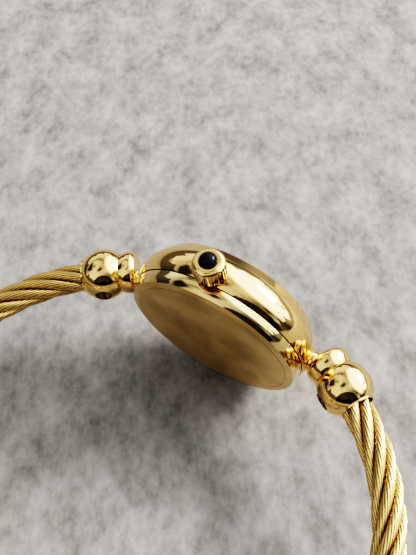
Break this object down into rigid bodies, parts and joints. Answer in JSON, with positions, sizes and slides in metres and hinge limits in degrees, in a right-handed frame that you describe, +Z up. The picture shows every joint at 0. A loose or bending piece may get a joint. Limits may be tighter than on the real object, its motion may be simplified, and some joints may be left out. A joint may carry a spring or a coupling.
{
  "type": "bangle watch",
  "caption": "Small round ladies' quartz watch on a stiff bangle of twisted gold-coloured cable, with bead ends, a fluted crown and a hook clasp.",
  "frame": {"origin": "bottom centre of the bounding box of the watch as it lies in the picture, on the round wall of its case and on the two clasp beads", "axes": "+Z up; +Y from the case towards the clasp; -X towards 12 o'clock; the crown points up and the dial faces -Y, both leaning by the rest angle"},
  "size_m": [0.0644, 0.057, 0.0276],
  "materials": {
    "polished_gold": "polished gold plating on brass",
    "satin_gold": "satin gold-coloured coating on steel",
    "cable_gold": "gold-coloured twisted wire, worn smooth on the outside",
    "crystal": "clear and polished",
    "gasket": "matt sealing ring",
    "clear_gasket": "translucent nylon ring",
    "black_dial": "black lacquer, guessed",
    "black_cabochon": "glossy black resin",
    "movement_brass": "stamped brass",
    "movement_steel": "ground steel",
    "holder_plastic": "moulded white plastic",
    "board": "green circuit board",
    "copper_wire": "fine enamelled copper wire"
  },
  "bodies": {
    "case": {"case_middle": "polished_gold", "front_bezel": "polished_gold", "crystal": "crystal", "crystal_gasket": "clear_gasket", "dial": "black_dial", "hour_markers": "polished_gold", "movement_holder": "holder_plastic", "main_plate": "movement_brass", "train_bridge": "movement_steel", "circuit_board": "board", "coil_core": "movement_steel", "coil_winding": "copper_wire", "battery": "movement_steel", "battery_clip": "movement_steel", "movement_screws": "movement_steel", "crown_tube": "movement_steel", "case_back": "satin_gold", "case_back_gasket": "gasket", "lug_post_12": "polished_gold", "lug_post_6": "polished_gold", "end_bead_12": "polished_gold", "end_bead_6": "polished_gold", "bead_set_screws": "polished_gold", "cable_arm_12": "cable_gold", "cable_arm_6": "cable_gold", "clasp_bead_12": "polished_gold", "clasp_bead_6": "polished_gold", "clasp_hinge_pin": "polished_gold", "clasp_catch_bar": "polished_gold"},
    "minute": {"cannon_pinion": "movement_steel", "minute_hand": "polished_gold"},
    "minute_wheel": {"minute_wheel": "movement_brass"},
    "hour": {"hour_wheel": "movement_brass", "hour_hand": "polished_gold"},
    "setting_pinion": {"setting_pinion": "movement_steel"},
    "crown": {"stem": "movement_steel", "crown_body": "polished_gold", "crown_cabochon": "black_cabochon", "crown_gasket": "gasket"},
    "hook": {"clasp_hook": "polished_gold"}
  },
  "joints": [
    {"name": "minute_hand_spin", "type": "hinge", "parent": "case", "child": "minute", "pos_m": [0, -0.02121, 0.01169], "axis": [0, 0.9842, -0.1769], "continuous": true},
    {"name": "minute_wheel_spin", "type": "hinge", "parent": "case", "child": "minute_wheel", "pos_m": [0, -0.02163, 0.00933], "axis": [0, 0.9842, -0.1769], "continuous": true},
    {"name": "hour_hand_spin", "type": "hinge", "parent": "case", "child": "hour", "pos_m": [0, -0.02121, 0.01169], "axis": [0, 0.9842, -0.1769], "continuous": true},
    {"name": "crown_spin", "type": "hinge", "parent": "case", "child": "setting_pinion", "pos_m": [0, -0.02135, 0.0168], "axis": [0, 0.1769, 0.9842], "continuous": true},
    {"name": "crown_pull", "type": "slide", "parent": "setting_pinion", "child": "crown", "axis": [0, 0.1769, 0.9842], "range_m": [0, 0.0008]},
    {"name": "clasp_hook_swing", "type": "hinge", "parent": "case", "child": "hook", "pos_m": [-0.0034, 0.02617, 0.00318], "axis": [0, 0.1769, 0.9842], "range_deg": [0, 100]}
  ],
  "couplings": [
    {"joint": "minute_wheel_spin", "follows": "minute_hand_spin", "ratio": -0.33333},
    {"joint": "hour_hand_spin", "follows": "minute_hand_spin", "ratio": 0.083333}
  ]
}
